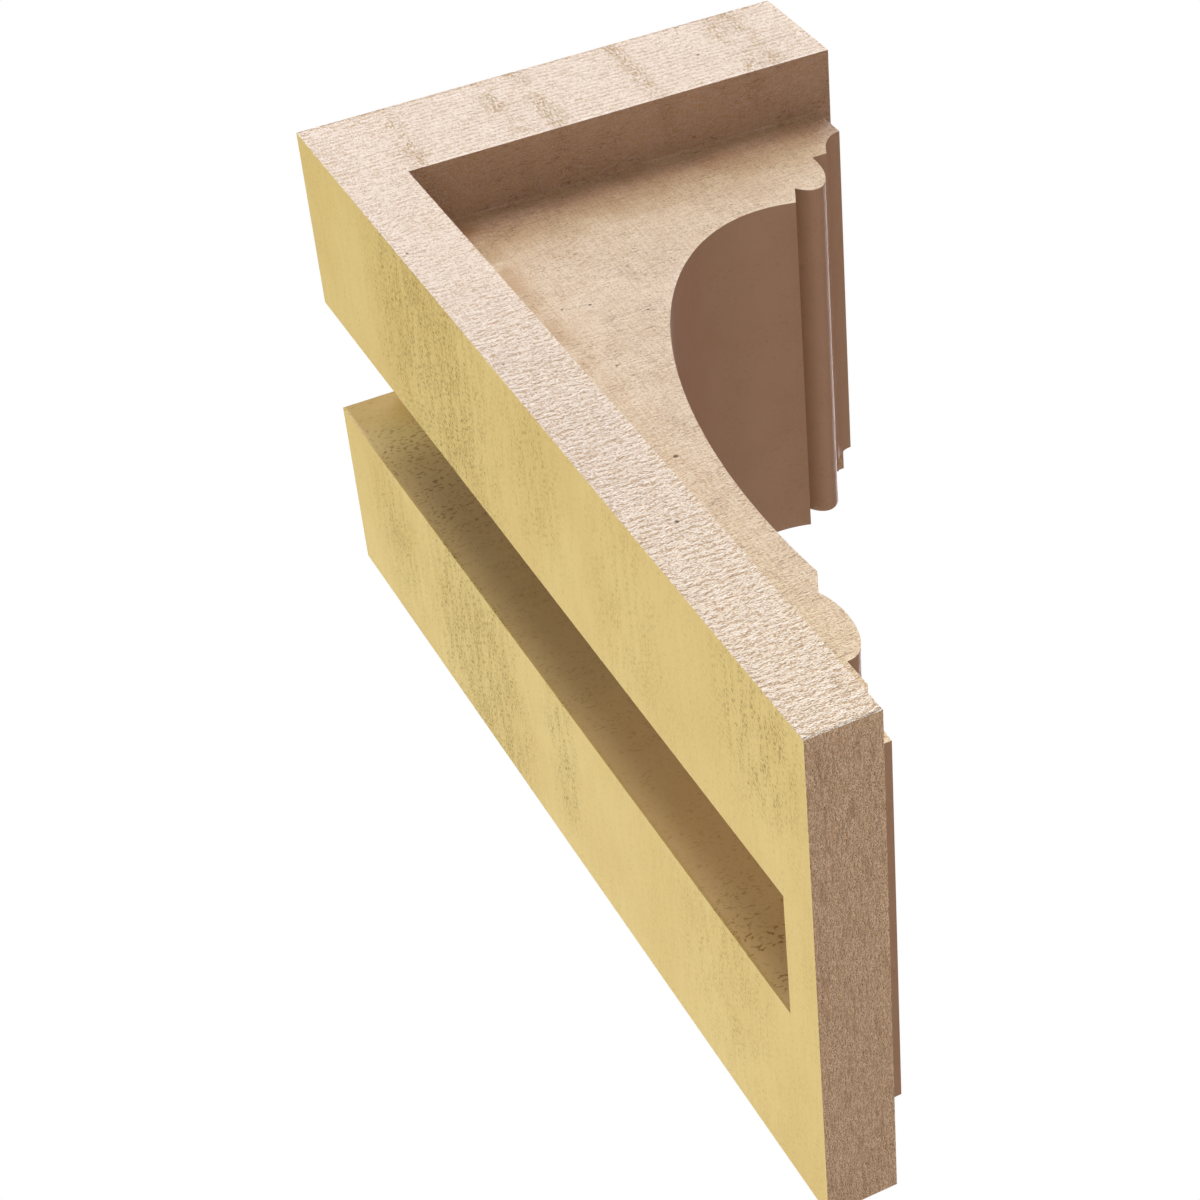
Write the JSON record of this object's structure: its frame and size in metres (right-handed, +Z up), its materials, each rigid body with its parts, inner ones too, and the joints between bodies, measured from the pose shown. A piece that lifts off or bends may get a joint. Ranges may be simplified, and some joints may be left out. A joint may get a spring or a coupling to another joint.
{
  "type": "corbel",
  "caption": "Moulded faux-wood foam corbel: full-width top and back plates in an L, a narrower bracket body with beads and coves, and a cleat slot in the back.",
  "frame": {"origin": "on the back face, centred on the width, in the middle of the solid strip under the cleat slot", "axes": "+Z up, +Y out of the back face into the wall, the front of the corbel faces -Y, +X across the width"},
  "size_m": [0.2032, 0.2032, 0.4064],
  "materials": {
    "primed_foam": "tan primed rigid foam with a rough-sawn wood grain; bare yellow foam on the back and in the slot"
  },
  "bodies": {
    "root": {"corbel": "primed_foam"}
  },
  "joints": []
}
